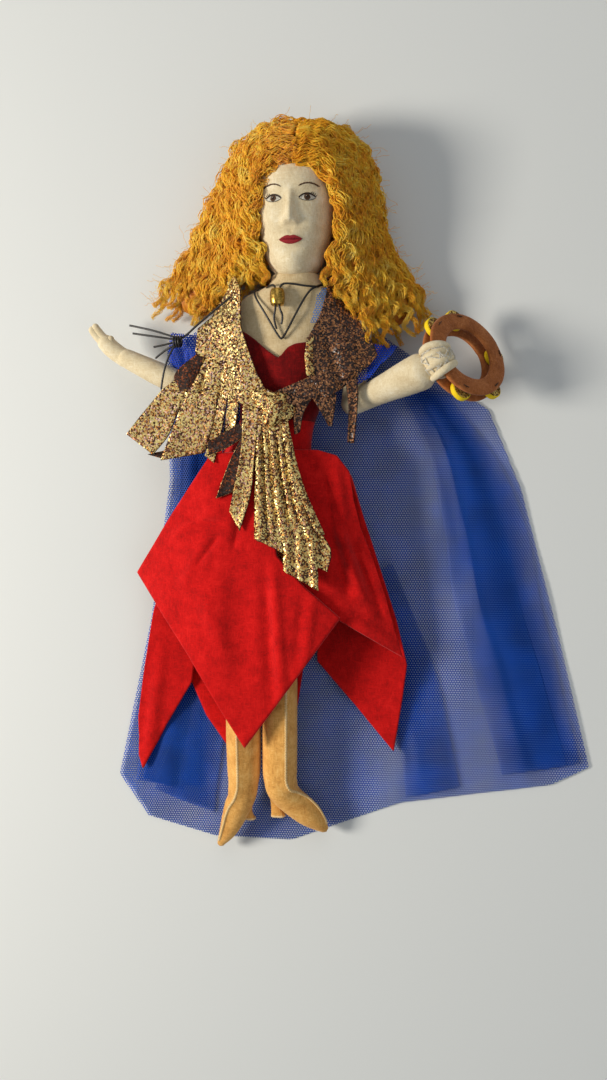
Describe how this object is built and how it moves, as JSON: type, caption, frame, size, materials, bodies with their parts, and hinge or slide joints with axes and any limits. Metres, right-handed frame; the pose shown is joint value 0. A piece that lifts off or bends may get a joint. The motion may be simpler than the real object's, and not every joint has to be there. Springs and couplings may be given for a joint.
{
  "type": "felt doll puppet",
  "caption": "Soft felt doll puppet lying on its net cape, with curly wool hair, petal skirt, fringed shawl and a small hoop drum in one fist.",
  "frame": {"origin": "on the plane the doll lies on, under its waist", "axes": "+Z out of the doll's chest, +Y from its feet to its head, +X to its own left"},
  "size_m": [0.1765, 0.2503, 0.0332],
  "materials": {
    "core_wool": "packed wool stuffing",
    "skin_felt": "matte wool felt",
    "steel_wire": "annealed wire",
    "red_felt": "matte craft felt",
    "hair_wool": "curly dyed wool locks",
    "tulle": "fine net",
    "glitter_cloth": "brown backed cloth with a gold glitter face",
    "waxed_cord": "waxed cotton cord",
    "gold_bead": "satin",
    "eye_thread": "stranded thread",
    "lip_thread": "stranded thread",
    "brown_felt": "matte wool felt",
    "jingle_foam": "foam sheet with a gold glitter face",
    "sewing_thread": "sewing thread",
    "tan_felt": "matte wool felt"
  },
  "bodies": {
    "torso": {"body_core": "core_wool", "neck": "skin_felt", "spine_wire": "steel_wire", "shoulder_wire": "steel_wire", "hip_loops": "steel_wire", "bodice": "red_felt", "skirt_waistband": "red_felt", "hair_fall_right": "hair_wool", "hair_fall_left": "hair_wool", "petal_back_middle": "red_felt", "petal_back_right": "red_felt", "petal_back_left": "red_felt", "petal_side_right": "red_felt", "petal_side_left": "red_felt", "cape": "tulle", "shawl_collar": "glitter_cloth", "shawl_front_right": "glitter_cloth", "shawl_front_left": "glitter_cloth", "shawl_knot": "glitter_cloth", "shawl_tail_root": "glitter_cloth", "choker_cord": "waxed_cord", "necklace_cord": "waxed_cord", "choker_ends": "waxed_cord", "gold_bead": "gold_bead", "tassel_cord_long": "waxed_cord", "tassel_cord_short": "waxed_cord", "tassel_cord_edge": "waxed_cord", "tassel_knot": "waxed_cord"},
    "head": {"head": "skin_felt", "eye_stitches": "eye_thread", "brow_stitches": "eye_thread", "lip_stitches": "lip_thread", "hair_cap": "hair_wool"},
    "upper_arm_right": {"upper_arm_right": "skin_felt", "elbow_pin_right": "steel_wire"},
    "forearm_right": {"forearm_right": "skin_felt", "hand_right": "skin_felt"},
    "upper_arm_left": {"upper_arm_left": "skin_felt", "elbow_pin_left": "steel_wire"},
    "forearm_left": {"forearm_left": "skin_felt", "fist_left": "skin_felt"},
    "tambourine": {"tambourine_ring_front": "brown_felt", "tambourine_ring_back": "brown_felt", "jingle_threads": "sewing_thread"},
    "hips": {"hip_bar": "steel_wire"},
    "leg_right": {"leg_right": "tan_felt", "heel_right": "tan_felt"},
    "leg_left": {"leg_left": "tan_felt", "heel_left": "tan_felt"},
    "skirt_front": {"petal_front_right": "red_felt", "petal_front_left": "red_felt", "shawl_tail": "glitter_cloth"},
    "jingle_1": {"jingle_1": "jingle_foam"},
    "jingle_2": {"jingle_2": "jingle_foam"},
    "jingle_3": {"jingle_3": "jingle_foam"},
    "jingle_4": {"jingle_4": "jingle_foam"},
    "jingle_5": {"jingle_5": "jingle_foam"}
  },
  "joints": [
    {"name": "neck_turn", "type": "hinge", "parent": "torso", "child": "head", "pos_m": [0.01, 0.05, 0.017], "axis": [0, 1, 0], "range_deg": [-15, 15]},
    {"name": "shoulder_right", "type": "hinge", "parent": "torso", "child": "upper_arm_right", "pos_m": [-0.019, 0.033, 0.0115], "axis": [0, 0, 1], "range_deg": [-5, 8]},
    {"name": "elbow_right", "type": "hinge", "parent": "upper_arm_right", "child": "forearm_right", "pos_m": [-0.0247, 0.0122, 0.0115], "axis": [0, 0, 1], "range_deg": [-6, 50]},
    {"name": "shoulder_left", "type": "hinge", "parent": "torso", "child": "upper_arm_left", "pos_m": [0.032, 0.033, 0.0115], "axis": [0, 0, 1], "range_deg": [-6, 8]},
    {"name": "elbow_left", "type": "hinge", "parent": "upper_arm_left", "child": "forearm_left", "pos_m": [0.029, 0.0073, 0.0115], "axis": [0, 0, 1], "range_deg": [-45, 5]},
    {"name": "tambourine_turn", "type": "hinge", "parent": "forearm_left", "child": "tambourine", "pos_m": [0.067, 0.0215, 0.0165], "axis": [0.6016, 0.3473, 0.7193], "range_deg": [-10, 10]},
    {"name": "jingle_1_spin", "type": "hinge", "parent": "tambourine", "child": "jingle_1", "pos_m": [0.05724, 0.03086, 0.02014], "axis": [0.6016, 0.3473, 0.7193], "continuous": true},
    {"name": "jingle_2_spin", "type": "hinge", "parent": "tambourine", "child": "jingle_2", "pos_m": [0.06378, 0.03463, 0.01286], "axis": [0.6016, 0.3473, 0.7193], "continuous": true},
    {"name": "jingle_3_spin", "type": "hinge", "parent": "tambourine", "child": "jingle_3", "pos_m": [0.07739, 0.02277, 0.0072], "axis": [0.6016, 0.3473, 0.7193], "continuous": true},
    {"name": "jingle_4_spin", "type": "hinge", "parent": "tambourine", "child": "jingle_4", "pos_m": [0.07602, 0.01109, 0.01398], "axis": [0.6016, 0.3473, 0.7193], "continuous": true},
    {"name": "jingle_5_spin", "type": "hinge", "parent": "tambourine", "child": "jingle_5", "pos_m": [0.06578, 0.00937, 0.02338], "axis": [0.6016, 0.3473, 0.7193], "continuous": true},
    {"name": "sit_fold", "type": "hinge", "parent": "torso", "child": "hips", "pos_m": [-0.0031, -0.0205, 0.01], "axis": [-1, 0, 0], "range_deg": [0, 60]},
    {"name": "leg_spread_right", "type": "hinge", "parent": "hips", "child": "leg_right", "pos_m": [-0.0096, -0.0205, 0.01], "axis": [0, 0, 1], "range_deg": [-8, 0]},
    {"name": "leg_spread_left", "type": "hinge", "parent": "hips", "child": "leg_left", "pos_m": [0.0034, -0.0205, 0.01], "axis": [0, 0, 1], "range_deg": [0, 8]},
    {"name": "skirt_lift", "type": "hinge", "parent": "torso", "child": "skirt_front", "pos_m": [0, -0.0142, 0.0245], "axis": [-1, 0, 0], "range_deg": [0, 60]}
  ],
  "couplings": [
    {"joint": "skirt_lift", "follows": "sit_fold", "ratio": 1}
  ]
}
